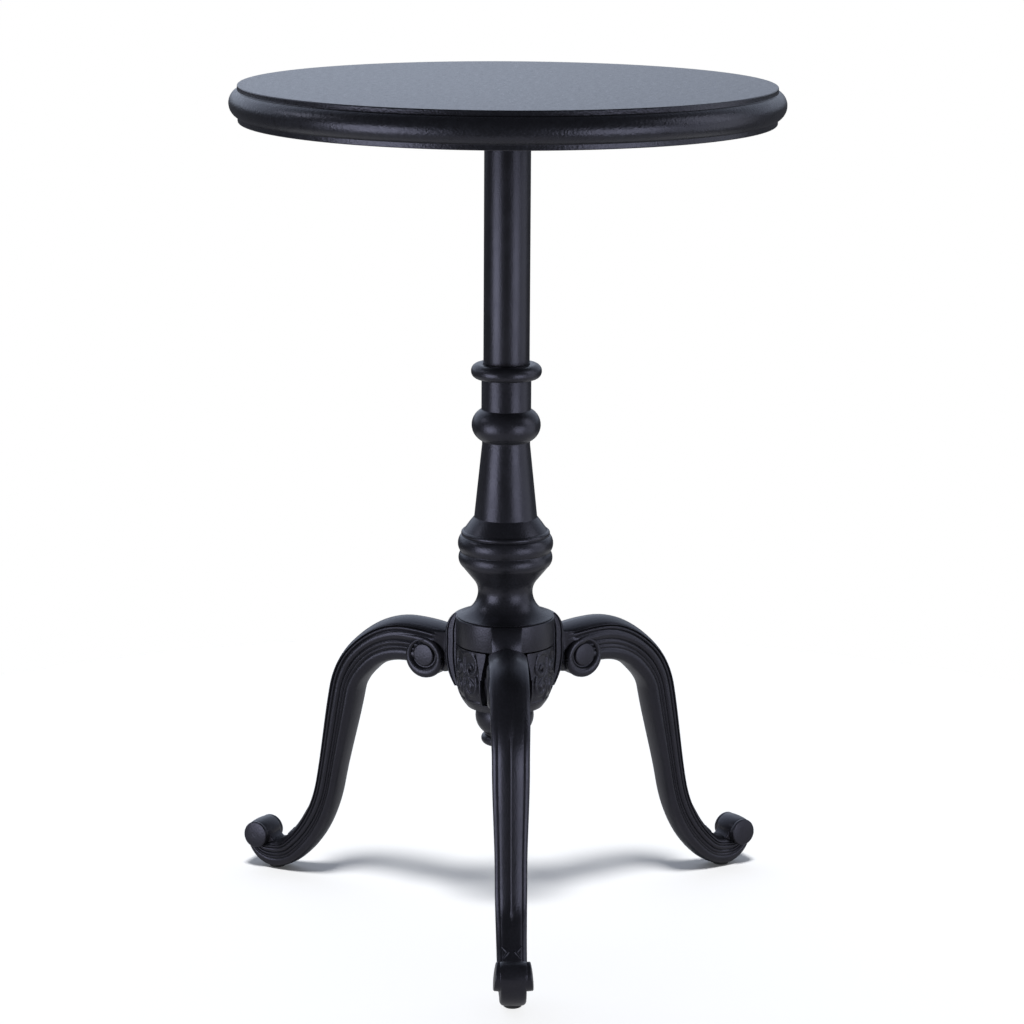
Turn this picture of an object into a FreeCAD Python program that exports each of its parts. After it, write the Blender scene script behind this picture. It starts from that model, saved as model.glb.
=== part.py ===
import FreeCAD, Part
import math
import os

# Round pedestal table on three scrolled legs, in millimetres.
# +Z is up, the origin lies on the floor under the pole, and the front leg points along -Y.

# Overall sizes
table_height = 700.0
top_diameter = 450.0
top_thickness = 30.0

# Fits between pieces
slip_clearance = 0.15
seat_clearance = 0.1
thread_clearance = 0.1
hole_clearance = 0.5

# Moulded edge of the top, from its flat face down
rim_fillet_inset = 5.5
rim_fillet_height = 5.0
rim_fillet_round = 1.0
ovolo_inset_above = 4.5
ovolo_drop = 10.0
ovolo_inset_below = 10.5
lip_height = 3.5
lip_swell = 1.2

# Tie rod that clamps the pedestal together, with its nuts and washer
rod_radius = 5.0
nut_across_flats = 17.0
nut_height = 8.0
washer_radius = 10.5
washer_thickness = 2.0
rod_end_spare = 3.0

# Steel flange under the top, and the screws that hold the top to it
flange_radius = 75.0
flange_thickness = 5.0
flange_spigot_length = 14.0
screw_count = 6
screw_circle_radius = 60.0
screw_shank_radius = 2.25
screw_head_radius = 4.5
screw_length = 22.0
nut_room = 4.0

# Pole
pole_radius = 19.05
pole_wall = 2.0

# Collar that covers the foot of the pole
collar_radius = 29.2
collar_height = 12.4
collar_round = 6.0

# Turned column, from the hub up
column_bore_radius = 12.0
column_spigot_depth = 4.0
pole_spigot_length = 15.0
shoulder_radius = 40.8
shoulder_height = 19.8
shoulder_cove_radius = 26.65
shoulder_cove_rise = 9.5
waist_radius = 22.85
ogee_height = 23.2
ogee_foot_radius = 23.65
ogee_foot_rise = 6.5
ogee_bend_radius = 26.45
ogee_bend_rise = 11.6
bead_foot_radius = 35.9
lower_bead_radius = 39.2
lower_bead_height = 12.8
lower_bead_belly = 7.7
bead_groove_radius = 37.5
upper_bead_radius = 39.8
upper_bead_height = 16.2
upper_bead_belly = 7.8
bulb_top_radius = 36.2
bulb_step = 0.8
bulb_shoulder_height = 13.0
bulb_cove_radius = 31.8
bulb_cove_rise = 5.85
cone_foot_radius = 26.2
cone_height = 61.0
cone_top_radius = 19.9
bead_step = 3.2
neck_bead_radius = 28.6
neck_bead_height = 26.4
neck_radius = 20.55
neck_height = 25.8

# Hub that carries the legs
drum_bottom = 235.0
drum_height = 22.6
drum_radius = 41.4
core_radius = 33.0
core_length = 39.0
hub_bore_radius = 22.0
clamp_plate_radius = 29.0
clamp_plate_thickness = 5.0

# Leg bolts, two to each leg, tightened from inside the hub
bolt_radius = 4.0
bolt_head_across_flats = 13.0
bolt_head_height = 5.3
bolt_washer_radius = 8.0
bolt_washer_thickness = 1.6
bolt_seat_radius = 23.8
bolt_length = 27.0
upper_bolt_height = 11.3
lower_bolt_drop = 25.0

# Leaf cup under the drum
cup_radius = 40.4
cup_wall = 5.0
cup_side_height = 40.0
cup_bowl_height = 17.4
cup_bowl_radius = 36.2
cup_foot_radius = 27.0
cup_floor = 4.4
cup_rim_height = 10.4
leaf_half_angle = 28.0
leaf_eye_radius = 2.0
leaf_eye_angle = 15.0
leaf_eye_drop = 16.0
leaf_rib_radius = 3.2
leaf_rib_proud = 1.0
leaf_rib_drop = 9.0

# Drop finial under the cup
finial_top_radius = 21.0
finial_bead_radius = 24.4
finial_bead_height = 20.5
finial_bead_belly = 8.2
finial_waist_radius = 17.2
finial_waist_height = 1.5
finial_button_radius = 19.7
finial_button_height = 8.8
finial_tip_radius = 9.0
finial_tip_height = 4.5
finial_tip_round_radius = 7.2
finial_tip_round_drop = 2.7
finial_tip_flat = 2.5
finial_thread_depth = 28.0

# Legs
leg_count = 3
first_leg_angle = -90.0
pad_thickness = 11.4
pad_rim = 2.0
pad_rim_thickness = 6.0
pad_half_width = 13.5
pad_below_drum_top = 3.6
pad_shoulder = 8.0
pad_drop = 44.5
pad_toe = 5.0
heel_half_width = 12.0
heel_drop = 38.0
crest_drop = 8.0
crest_run = 36.2
root_radius = 159.0
knee_radius = 65.2
knee_bend = 45.0
shin_lean = 11.2
sweep_radius = 115.0
sweep_lean = 50.0
toe_radius = 28.0
curl_radius = 27.0
curl_turn = 70.0
curl_steps = 5
leg_root_thickness = 33.0
leg_crest_thickness = 32.0
leg_bend_thickness = 29.6
leg_knee_thickness = 22.6
leg_shin_thickness = 16.8
leg_sweep_thickness = 22.5
leg_toe_thickness = 25.5
leg_curl_thickness = 17.0
leg_root_width = 30.0
leg_knee_width = 28.4
leg_shin_width = 24.8
leg_toe_width = 22.0
leg_steps = 4
leg_ridge = 1.6
leg_groove = 1.6
strip_width = 3.6
strip_round = 0.7
strip_fall = 0.4
groove_half_width = 0.9
# Mouldings down the leg's side: share of the leg's thickness below its upper face, and depth
side_mouldings = (
    (0.07, 0.0),
    (0.15, 0.0),
    (0.20, 1.6),
    (0.26, 0.3),
    (0.44, 0.3),
    (0.50, 1.6),
    (0.56, 0.6),
    (0.62, 0.6),
    (0.68, 1.6),
    (0.74, 0.6),
    (0.94, 1.3),
    (1.00, 2.9),
)
volute_run = 16.6
volute_drop = 19.5
volute_radius = 17.0
volute_half_width = 17.5
volute_eye_radius = 11.0
volute_groove_radius = 13.4
volute_groove_depth = 1.8
scroll_radius = 12.4
scroll_half_width = 10.8
ear_radius = 11.4
ear_top_half_width = 13.4
ear_bottom_half_width = 15.9
scroll_run = 14.3
scroll_rise = 29.6

# Glides under the feet
glide_proud = 2.0
glide_seat_depth = 1.5
glide_radius = 7.0
glide_stem_radius = 3.0
glide_stem_length = 9.0

# Heights and radii that follow from the sizes above
top_underside = table_height - top_thickness
flange_underside = top_underside - flange_thickness
hub_top = drum_bottom + drum_height
hub_bottom = drum_bottom - core_length
clamp_bottom = hub_bottom - clamp_plate_thickness
shoulder_top = hub_top + shoulder_height
ogee_top = shoulder_top + ogee_height
lower_bead_top = ogee_top + lower_bead_height
upper_bead_top = lower_bead_top + upper_bead_height
bulb_top = upper_bead_top + bulb_shoulder_height
cone_top = bulb_top + cone_height
neck_bead_bottom = cone_top + bead_step
neck_bead_top = neck_bead_bottom + neck_bead_height
column_top = neck_bead_top + neck_height
pole_bore_radius = pole_radius - pole_wall
cup_side_bottom = drum_bottom - cup_side_height
cup_bottom = cup_side_bottom - cup_bowl_height
rod_top = top_underside + washer_thickness + nut_height + rod_end_spare
rod_bottom = cup_bottom - finial_thread_depth
bolt_head_inner = bolt_seat_radius - bolt_washer_thickness - bolt_head_height
bolt_heights = (drum_bottom + upper_bolt_height, drum_bottom - lower_bolt_drop)
leg_root_radius = drum_radius + pad_thickness
crest_height = drum_bottom - crest_drop
leg_angles = [first_leg_angle + index * 360.0 / leg_count for index in range(leg_count)]
leg_names = ("leg_front", "leg_right", "leg_left")

origin = FreeCAD.Vector(0, 0, 0)
up = FreeCAD.Vector(0, 0, 1)


def turned(outline):
    """Solid turned about the Z axis. A step of the outline is a point, or a point on an arc and its end."""
    edges = []
    here = FreeCAD.Vector(outline[0][0], 0, outline[0][1])
    for step in outline[1:] + outline[:1]:
        if isinstance(step[0], tuple):
            middle = FreeCAD.Vector(step[0][0], 0, step[0][1])
            end = FreeCAD.Vector(step[1][0], 0, step[1][1])
            edges.append(Part.Arc(here, middle, end).toShape())
        else:
            end = FreeCAD.Vector(step[0], 0, step[1])
            edges.append(Part.makeLine(here, end))
        here = end
    return Part.Face(Part.Wire(edges)).revolve(origin, up, 360)


def post(radius, bottom, top):
    """Upright cylinder on the table's axis."""
    return Part.makeCylinder(radius, top - bottom, FreeCAD.Vector(0, 0, bottom))


def radial(radius, inner, outer, height):
    """Cylinder along X, from one distance off the axis to another."""
    start = FreeCAD.Vector(inner, 0, height)
    return Part.makeCylinder(radius, outer - inner, start, FreeCAD.Vector(1, 0, 0))


def crossbar(radius, half_width, distance, height):
    """Cylinder along Y, centred on the leg's middle plane."""
    start = FreeCAD.Vector(distance, -half_width, height)
    return Part.makeCylinder(radius, 2 * half_width, start, FreeCAD.Vector(0, 1, 0))


def hexagon(across_flats, base, height, axis):
    """Hexagonal prism from a base point along an axis."""
    circle = Part.makeCircle(across_flats / math.sqrt(3), base, axis)
    corners = circle.discretize(7)
    return Part.Face(Part.makePolygon(corners)).extrude(axis * height)


def around(shape, angle):
    """Copy of a shape turned about the table's axis."""
    copy = shape.copy()
    copy.rotate(origin, up, angle)
    return copy


def at_each_leg(shape):
    return [around(shape, angle) for angle in leg_angles]


def table_top():
    rim = top_diameter / 2
    arris = rim - rim_fillet_inset
    fillet_bottom = table_height - rim_fillet_height
    ovolo_middle = fillet_bottom - ovolo_drop
    lip_top = top_underside + lip_height
    lip = rim - ovolo_inset_below
    slope = rim_fillet_round * (1 - math.sqrt(0.5))
    board = turned([
        (0, table_height),
        (arris - rim_fillet_round, table_height),
        ((arris - slope, table_height - slope), (arris, table_height - rim_fillet_round)),
        (arris, fillet_bottom),
        (rim - ovolo_inset_above, fillet_bottom),
        ((rim, ovolo_middle), (lip, lip_top)),
        ((lip + lip_swell, top_underside + lip_height / 2), (lip, top_underside)),
        (0, top_underside),
    ])
    room = post(washer_radius + nut_room, top_underside, rod_top + nut_room)
    board = board.cut(room)
    for angle in screw_angles():
        pilot = flange_screw(screw_shank_radius + thread_clearance, thread_clearance)
        board = board.cut(around(pilot, angle))
    return board


def screw_angles():
    return [360.0 * index / screw_count for index in range(screw_count)]


def flange_screw(shank_radius, spare):
    """Shank of one screw, from the flange's lower face up into the top."""
    start = FreeCAD.Vector(screw_circle_radius, 0, flange_underside)
    return Part.makeCylinder(shank_radius, screw_length + spare, start)


def screw_head(spare):
    """Countersunk head, flush with the flange's lower face."""
    start = FreeCAD.Vector(screw_circle_radius, 0, flange_underside)
    depth = screw_head_radius - screw_shank_radius
    return Part.makeCone(screw_head_radius + spare, screw_shank_radius + spare, depth, start)


def flange_screws():
    screw = flange_screw(screw_shank_radius, 0).fuse(screw_head(0)).removeSplitter()
    return [around(screw, angle) for angle in screw_angles()]


def top_flange():
    plate = post(flange_radius, flange_underside, top_underside)
    spigot_bottom = flange_underside - flange_spigot_length
    spigot = post(pole_bore_radius - slip_clearance, spigot_bottom, flange_underside)
    bore = post(rod_radius + hole_clearance, spigot_bottom, top_underside)
    flange = plate.fuse(spigot).cut(bore)
    for angle in screw_angles():
        hole = flange_screw(screw_shank_radius + thread_clearance, 0).fuse(screw_head(thread_clearance))
        flange = flange.cut(around(hole, angle))
    return flange.removeSplitter()


def washer_on_rod(radius, bottom, thickness):
    ring = post(radius, bottom, bottom + thickness)
    return ring.cut(post(rod_radius + hole_clearance, bottom, bottom + thickness))


def nut_on_rod(bottom):
    nut = hexagon(nut_across_flats, FreeCAD.Vector(0, 0, bottom), nut_height, up)
    return nut.cut(post(rod_radius + thread_clearance, bottom, bottom + nut_height))


def pole():
    tube = post(pole_radius, column_top, flange_underside)
    return tube.cut(post(pole_bore_radius, column_top, flange_underside))


def collar():
    bottom = column_top
    top = column_top + collar_height
    slope = collar_round * (1 - math.sqrt(0.5))
    return turned([
        (pole_radius + slip_clearance, bottom),
        (collar_radius - collar_round, bottom),
        ((collar_radius - slope, bottom + slope), (collar_radius, bottom + collar_round)),
        (collar_radius, top - collar_round),
        ((collar_radius - slope, top - slope), (collar_radius - collar_round, top)),
        (pole_radius + slip_clearance, top),
    ])


def column():
    spigot = hub_bore_radius - slip_clearance
    pole_spigot = pole_bore_radius - slip_clearance
    ogee_foot = (ogee_foot_radius, shoulder_top + ogee_foot_rise)
    ogee_bend = (ogee_bend_radius, shoulder_top + ogee_bend_rise)
    return turned([
        (column_bore_radius, hub_top - column_spigot_depth),
        (spigot, hub_top - column_spigot_depth),
        (spigot, hub_top),
        (shoulder_radius, hub_top),
        ((shoulder_cove_radius, hub_top + shoulder_cove_rise), (waist_radius, shoulder_top)),
        (ogee_foot, ogee_bend),
        (bead_foot_radius, ogee_top),
        ((lower_bead_radius, ogee_top + lower_bead_belly), (bead_groove_radius, lower_bead_top)),
        ((upper_bead_radius, lower_bead_top + upper_bead_belly), (bulb_top_radius, upper_bead_top)),
        (bulb_top_radius - bulb_step, upper_bead_top),
        ((bulb_cove_radius, upper_bead_top + bulb_cove_rise), (cone_foot_radius, bulb_top)),
        (cone_top_radius, cone_top),
        (cone_top_radius, neck_bead_bottom),
        ((neck_bead_radius, neck_bead_bottom + neck_bead_height / 2), (neck_radius, neck_bead_top)),
        (neck_radius, column_top),
        (pole_spigot, column_top),
        (pole_spigot, column_top + pole_spigot_length),
        (column_bore_radius, column_top + pole_spigot_length),
    ])


def hub():
    body = post(drum_radius, drum_bottom, hub_top).fuse(post(core_radius, hub_bottom, drum_bottom))
    body = body.cut(post(hub_bore_radius, hub_bottom, hub_top)).removeSplitter()
    for height in bolt_heights:
        hole = radial(bolt_radius + hole_clearance, 0, drum_radius + pad_thickness, height)
        spot = radial(bolt_washer_radius + hole_clearance, 0, bolt_seat_radius, height)
        for cutter in at_each_leg(hole.fuse(spot)):
            body = body.cut(cutter)
    return body


def leg_bolts():
    axis = FreeCAD.Vector(1, 0, 0)
    bolts = []
    for height in bolt_heights:
        base = FreeCAD.Vector(bolt_head_inner, 0, height)
        head = hexagon(bolt_head_across_flats, base, bolt_head_height, axis)
        shank_start = bolt_head_inner + bolt_head_height
        shank = radial(bolt_radius, shank_start, shank_start + bolt_length, height)
        bolts += at_each_leg(head.fuse(shank))
    return bolts


def leg_bolt_washers():
    washers = []
    for height in bolt_heights:
        ring = radial(bolt_washer_radius, bolt_seat_radius - bolt_washer_thickness, bolt_seat_radius, height)
        washers += at_each_leg(ring.cut(radial(bolt_radius + thread_clearance, 0, bolt_seat_radius, height)))
    return washers


def bay(reach, bottom, top):
    """Wedge of space round one leg, between the edges of two leaves."""
    half = math.radians(180.0 / leg_count - leaf_half_angle)
    corners = [
        FreeCAD.Vector(0, 0, bottom),
        FreeCAD.Vector(reach, -reach * math.tan(half), bottom),
        FreeCAD.Vector(reach, reach * math.tan(half), bottom),
        FreeCAD.Vector(0, 0, bottom),
    ]
    return Part.Face(Part.makePolygon(corners)).extrude(up * (top - bottom))


def leaf_cup():
    rim = cup_bottom + cup_rim_height
    floor = cup_bottom + cup_floor
    inside = cup_radius - cup_wall
    cup = turned([
        (rod_radius + hole_clearance, cup_bottom),
        (cup_foot_radius, cup_bottom),
        ((cup_bowl_radius, cup_side_bottom - cup_bowl_height / 2), (cup_radius, cup_side_bottom)),
        (cup_radius, drum_bottom),
        (inside, drum_bottom),
        (inside, rim),
        (cup_foot_radius, floor),
        (rod_radius + hole_clearance, floor),
    ])
    leaf_angles = [angle + 180.0 / leg_count for angle in leg_angles]
    rib = Part.makeCylinder(
        leaf_rib_radius,
        drum_bottom - leaf_rib_drop - cup_side_bottom,
        FreeCAD.Vector(cup_radius + leaf_rib_proud - leaf_rib_radius, 0, cup_side_bottom),
    )
    eye = radial(leaf_eye_radius, 0, cup_radius + leaf_rib_radius, drum_bottom - leaf_eye_drop)
    for angle in leaf_angles:
        cup = cup.fuse(around(rib, angle))
        for side in (-leaf_eye_angle, leaf_eye_angle):
            cup = cup.cut(around(eye, angle + side))
    for wedge in at_each_leg(bay(2 * cup_radius, rim, drum_bottom)):
        cup = cup.cut(wedge)
    return cup.removeSplitter()


def drop_finial():
    waist_top = cup_bottom - finial_bead_height
    button_top = waist_top - finial_waist_height
    button_bottom = button_top - finial_button_height
    button_foot = finial_button_radius - finial_button_height / 2
    tip = button_bottom - finial_tip_height
    drop = turned([
        (0, cup_bottom),
        (finial_top_radius, cup_bottom),
        ((finial_bead_radius, cup_bottom - finial_bead_belly), (finial_waist_radius, waist_top)),
        (finial_waist_radius, button_top),
        (button_foot, button_top),
        ((finial_button_radius, button_top - finial_button_height / 2), (button_foot, button_bottom)),
        (finial_tip_radius, button_bottom),
        ((finial_tip_round_radius, button_bottom - finial_tip_round_drop), (finial_tip_flat, tip)),
        (0, tip),
    ])
    return drop.cut(post(rod_radius + thread_clearance, rod_bottom, cup_bottom))


def smooth(start, end, share):
    """Value that eases from start to end."""
    return start + (end - start) * share * share * (3 - 2 * share)


def leg_stretches():
    """Stretches of the leg's centre line: length and turn, then thickness and width at the far end."""
    lean = math.radians(shin_lean)
    sweep = math.radians(sweep_lean)
    root_turn = math.asin(crest_run / root_radius)
    sole = glide_proud + leg_toe_thickness / 2
    bend = math.radians(knee_bend)
    knee_fall = knee_radius * (1 - math.sin(lean))
    sweep_fall = sweep_radius * (math.sin(sweep) - math.sin(lean))
    toe_fall = toe_radius * (1 - math.sin(sweep))
    shin = (crest_height - knee_fall - sweep_fall - toe_fall - sole) / math.cos(lean)
    quarter = math.pi / 2
    return [
        (root_radius * root_turn, root_turn, leg_crest_thickness, leg_root_width),
        (knee_radius * bend, bend, leg_bend_thickness, leg_root_width),
        (knee_radius * (quarter - bend - lean), quarter - bend - lean, leg_knee_thickness, leg_knee_width),
        (shin, 0.0, leg_shin_thickness, leg_shin_width),
        (sweep_radius * (sweep - lean), lean - sweep, leg_sweep_thickness, leg_toe_width),
        (toe_radius * (quarter - sweep), sweep - quarter, leg_toe_thickness, leg_toe_width),
    ]


def leg_stations():
    """Distance, height, downward heading, thickness and width along the centre line, down to the sole."""
    stretches = leg_stretches()
    heading = -stretches[0][1]
    distance = leg_root_radius
    height = crest_height - root_radius * (1 - math.cos(heading))
    thickness = leg_root_thickness
    width = leg_root_width
    stations = [(distance, height, heading, thickness, width)]
    for length, turn, far_thickness, far_width in stretches:
        for step in range(1, leg_steps + 1):
            share = step / leg_steps
            now = heading + turn * share
            if turn:
                bend = length / turn
                run = bend * (math.sin(now) - math.sin(heading))
                rise = bend * (math.cos(now) - math.cos(heading))
            else:
                run = length * share * math.cos(now)
                rise = -length * share * math.sin(now)
            thick = smooth(thickness, far_thickness, share)
            wide = smooth(width, far_width, share)
            stations.append((distance + run, height + rise, now, thick, wide))
        distance, height, heading, thickness, width = stations[-1]
    return stations


def curl_stations():
    """Stations from the sole up round the scroll, with the underside on one radius."""
    sole_distance = leg_stations()[-1][0]
    centre_height = glide_proud + curl_radius
    stations = []
    for step in range(1, curl_steps + 1):
        share = step / curl_steps
        turn = math.radians(curl_turn) * share
        thick = smooth(leg_toe_thickness, leg_curl_thickness, share)
        middle = curl_radius - thick / 2
        distance = sole_distance + middle * math.sin(turn)
        height = centre_height - middle * math.cos(turn)
        stations.append((distance, height, -turn, thick, leg_toe_width))
    return stations


def leg_section(distance, height, heading, thickness, width):
    """Moulded outline across the leg: ridged upper face, then beads and grooves down each side."""
    half = width / 2
    upper = thickness / 2
    strip = half - strip_width
    side = [
        (strip - 2 * groove_half_width, upper - strip_fall),
        (strip - groove_half_width, upper - leg_groove),
        (strip, upper),
        (half - strip_round, upper - strip_fall),
    ]
    side += [(half - depth, upper - share * thickness) for share, depth in side_mouldings]
    outline = [(0, upper + leg_ridge)] + side + [(-across, out) for across, out in reversed(side)]
    corners = []
    for across, out in outline + outline[:1]:
        corners.append(FreeCAD.Vector(
            distance + out * math.sin(heading),
            across,
            height + out * math.cos(heading),
        ))
    return Part.makePolygon(corners)


def leg_arm():
    sections = [leg_section(*station) for station in leg_stations() + curl_stations()]
    return Part.makeLoft(sections, True, False)


def pad_outline(distance, inset):
    """Upright outline of the leg's root plate, rounded above and below."""
    half = pad_half_width - inset
    top = hub_top - pad_below_drum_top - inset
    bottom = drum_bottom - pad_drop + inset
    corners = [
        FreeCAD.Vector(distance, -half, top - pad_shoulder),
        FreeCAD.Vector(distance, half, top - pad_shoulder),
        FreeCAD.Vector(distance, half, bottom + pad_toe),
        FreeCAD.Vector(distance, -half, bottom + pad_toe),
    ]
    crown = Part.Arc(corners[0], FreeCAD.Vector(distance, 0, top), corners[1])
    toe = Part.Arc(corners[2], FreeCAD.Vector(distance, 0, bottom), corners[3])
    edges = [crown.toShape(), Part.makeLine(corners[1], corners[2])]
    edges += [toe.toShape(), Part.makeLine(corners[3], corners[0])]
    return Part.Face(Part.Wire(edges))


def leg_root():
    """Root plate against the drum, and the heel that fits under the drum against the core."""
    outward = FreeCAD.Vector(1, 0, 0)
    start = hub_bore_radius
    plate = pad_outline(start, 0).extrude(outward * (drum_radius + pad_rim_thickness - start))
    face = pad_outline(start, pad_rim).extrude(outward * (leg_root_radius - start))
    root = plate.fuse(face)
    drum_room = post(drum_radius + seat_clearance, drum_bottom - pad_drop, hub_top + pad_shoulder)
    heel_bottom = drum_bottom - heel_drop
    heel = Part.makeBox(
        drum_radius,
        2 * heel_half_width,
        heel_drop - seat_clearance,
        FreeCAD.Vector(0, -heel_half_width, heel_bottom),
    )
    core_room = post(core_radius + seat_clearance, drum_bottom - pad_drop, hub_top)
    return root.cut(drum_room.cut(heel)).cut(core_room)


def volute():
    """Round boss on both sides of the leg, with a groove round its eye."""
    distance = leg_root_radius + volute_run
    height = drum_bottom - volute_drop
    boss = crossbar(volute_radius, volute_half_width, distance, height)
    ring = crossbar(volute_groove_radius, volute_half_width, distance, height)
    groove_floor = volute_half_width - volute_groove_depth
    ring = ring.cut(crossbar(volute_groove_radius, groove_floor, distance, height))
    return boss.cut(ring.cut(crossbar(volute_eye_radius, volute_half_width, distance, height)))


def foot_scroll():
    """Roll at the leg's end, and the ears that stand out on both sides of it."""
    distance = leg_stations()[-1][0] + scroll_run
    roll = crossbar(scroll_radius, scroll_half_width, distance, scroll_rise)
    ears = crossbar(ear_radius, ear_bottom_half_width, distance, scroll_rise)
    near = distance - ear_radius
    low = scroll_rise - ear_radius
    high = scroll_rise + ear_radius
    ends = Part.makePolygon([
        FreeCAD.Vector(near, -ear_bottom_half_width, low),
        FreeCAD.Vector(near, ear_bottom_half_width, low),
        FreeCAD.Vector(near, ear_top_half_width, high),
        FreeCAD.Vector(near, -ear_top_half_width, high),
        FreeCAD.Vector(near, -ear_bottom_half_width, low),
    ])
    ears = ears.common(Part.Face(ends).extrude(FreeCAD.Vector(2 * ear_radius, 0, 0)))
    return roll.fuse(ears)


def glide(spare):
    """Foot glide at the front of the X axis: a pad on the floor, with a stem up into the foot."""
    distance = leg_stations()[-1][0]
    pad_height = glide_proud + glide_seat_depth
    pad = Part.makeCylinder(glide_radius + spare, pad_height, FreeCAD.Vector(distance, 0, 0))
    stem = Part.makeCylinder(
        glide_stem_radius + spare,
        pad_height + glide_stem_length + spare,
        FreeCAD.Vector(distance, 0, 0),
    )
    return pad.fuse(stem).removeSplitter()


def leg():
    body = leg_arm()
    for piece in (leg_root(), volute(), foot_scroll()):
        body = body.fuse(piece)
    for height in bolt_heights:
        reach = bolt_head_inner + bolt_head_height + bolt_length + thread_clearance
        body = body.cut(radial(bolt_radius + thread_clearance, 0, reach, height))
    return body.cut(glide(slip_clearance))


def build():
    os.makedirs("parts", exist_ok=True)
    body = leg()
    nodes = {
        "table_top": [table_top()],
        "top_flange": [top_flange()],
        "flange_screws": flange_screws(),
        "tie_rod": [post(rod_radius, rod_bottom, rod_top)],
        "tie_rod_washer": [washer_on_rod(washer_radius, top_underside, washer_thickness)],
        "tie_rod_top_nut": [nut_on_rod(top_underside + washer_thickness)],
        "hub_clamp_plate": [washer_on_rod(clamp_plate_radius, clamp_bottom, clamp_plate_thickness)],
        "hub_clamp_nut": [nut_on_rod(clamp_bottom - nut_height)],
        "pole": [pole()],
        "collar": [collar()],
        "column": [column()],
        "hub": [hub()],
        "leg_bolts": leg_bolts(),
        "leg_bolt_washers": leg_bolt_washers(),
        "leaf_cup": [leaf_cup()],
        "drop_finial": [drop_finial()],
        "foot_glides": at_each_leg(glide(0)),
    }
    for name, angle in zip(leg_names, leg_angles):
        nodes[name] = [around(body, angle)]
    for name, solids in nodes.items():
        shape = solids[0] if len(solids) == 1 else Part.makeCompound(solids)
        shape.exportStep("parts/" + name + ".step")
        print(name, shape.isValid(), len(shape.Solids), round(shape.Volume, 1))


build()
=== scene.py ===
import math
from collections import namedtuple

import bmesh
import bpy
from mathutils import Matrix, Vector
from mathutils.geometry import interpolate_bezier


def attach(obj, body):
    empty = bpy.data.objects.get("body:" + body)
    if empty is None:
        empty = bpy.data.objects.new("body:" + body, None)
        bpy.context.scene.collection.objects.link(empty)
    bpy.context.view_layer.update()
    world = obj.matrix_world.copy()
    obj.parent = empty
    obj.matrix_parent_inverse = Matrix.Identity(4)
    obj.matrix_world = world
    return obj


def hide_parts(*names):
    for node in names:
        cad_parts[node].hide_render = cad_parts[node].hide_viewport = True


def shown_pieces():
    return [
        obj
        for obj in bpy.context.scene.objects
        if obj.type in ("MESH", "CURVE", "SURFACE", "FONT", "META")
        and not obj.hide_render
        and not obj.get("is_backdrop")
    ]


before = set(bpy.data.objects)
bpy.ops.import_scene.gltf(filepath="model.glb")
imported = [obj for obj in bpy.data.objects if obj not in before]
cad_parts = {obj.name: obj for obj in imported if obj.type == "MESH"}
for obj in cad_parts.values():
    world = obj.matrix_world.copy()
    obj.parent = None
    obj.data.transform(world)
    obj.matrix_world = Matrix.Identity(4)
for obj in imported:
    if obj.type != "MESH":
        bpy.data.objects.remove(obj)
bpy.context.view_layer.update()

mm = 0.001
round_steps, small_round_steps, pad_round_steps = 128, 64, 48
leg_angles = {"leg_front": -90, "leg_right": 30, "leg_left": 150}


# Drawing and turning

def arc_centre(a, b, c):
    """Centre of the circle through three points in the upright plane of the outline."""
    sa, sb, sc = (p.x * p.x + p.z * p.z for p in (a, b, c))
    span = 2 * (a.x * (b.z - c.z) + b.x * (c.z - a.z) + c.x * (a.z - b.z))
    x = (sa * (b.z - c.z) + sb * (c.z - a.z) + sc * (a.z - b.z)) / span
    z = (sa * (c.x - b.x) + sb * (a.x - c.x) + sc * (b.x - a.x)) / span
    return Vector((x, 0, z))


def arc_to(bm, start, through, end, steps):
    """Swings a vertex along the arc through one point to an end, and returns the vertex there."""
    centre = arc_centre(start.co, through, end)
    bearing = [math.atan2(p.z - centre.z, p.x - centre.x) for p in (start.co, through, end)]
    passing = (bearing[1] - bearing[0]) % math.tau
    swing = (bearing[2] - bearing[0]) % math.tau
    if passing > swing:
        swing -= math.tau
    spun = bmesh.ops.spin(bm, geom=[start], cent=centre, axis=(0, 1, 0), angle=-swing, steps=steps)
    return [part for part in spun["geom_last"] if isinstance(part, bmesh.types.BMVert)][0]


def line_to(bm, start, end):
    """Draws a straight stretch from a vertex, and returns the vertex at its end."""
    point = bmesh.ops.extrude_vert_indiv(bm, verts=[start])["verts"][0]
    point.co = end
    return point


def draw(bm, outline, closed, steps=8):
    """Draws an outline in millimetres. A step is a point, or a point on an arc and the arc's end."""
    def spot(point):
        return Vector((point[0] * mm, 0, point[1] * mm))

    first = bm.verts.new(spot(outline[0]))
    here = first
    for step in outline[1:]:
        if isinstance(step[0], tuple):
            here = arc_to(bm, here, spot(step[0]), spot(step[1]), steps)
        else:
            here = line_to(bm, here, spot(step))
    if closed:
        bm.edges.new((here, first))
    return first


def soften(bm, offset, least=25):
    """Rounds the corners of a drawn outline a little, as paint and casting do."""
    bends = []
    for vert in bm.verts:
        if len(vert.link_edges) == 2:
            before, after = (edge.other_vert(vert).co - vert.co for edge in vert.link_edges)
            if math.degrees(before.angle(-after)) > least:
                bends.append(vert)
    bmesh.ops.bevel(bm, geom=bends, offset=offset * mm, offset_type="OFFSET", segments=3, profile=0.5,
                    affect="VERTICES", clamp_overlap=True, material=-1)


def close_up(bm):
    """Joins seams and poles, and turns all faces outwards."""
    bmesh.ops.remove_doubles(bm, verts=bm.verts, dist=0.001 * mm)
    bmesh.ops.dissolve_degenerate(bm, edges=bm.edges, dist=0.0005 * mm)
    bmesh.ops.recalc_face_normals(bm, faces=bm.faces)


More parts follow.
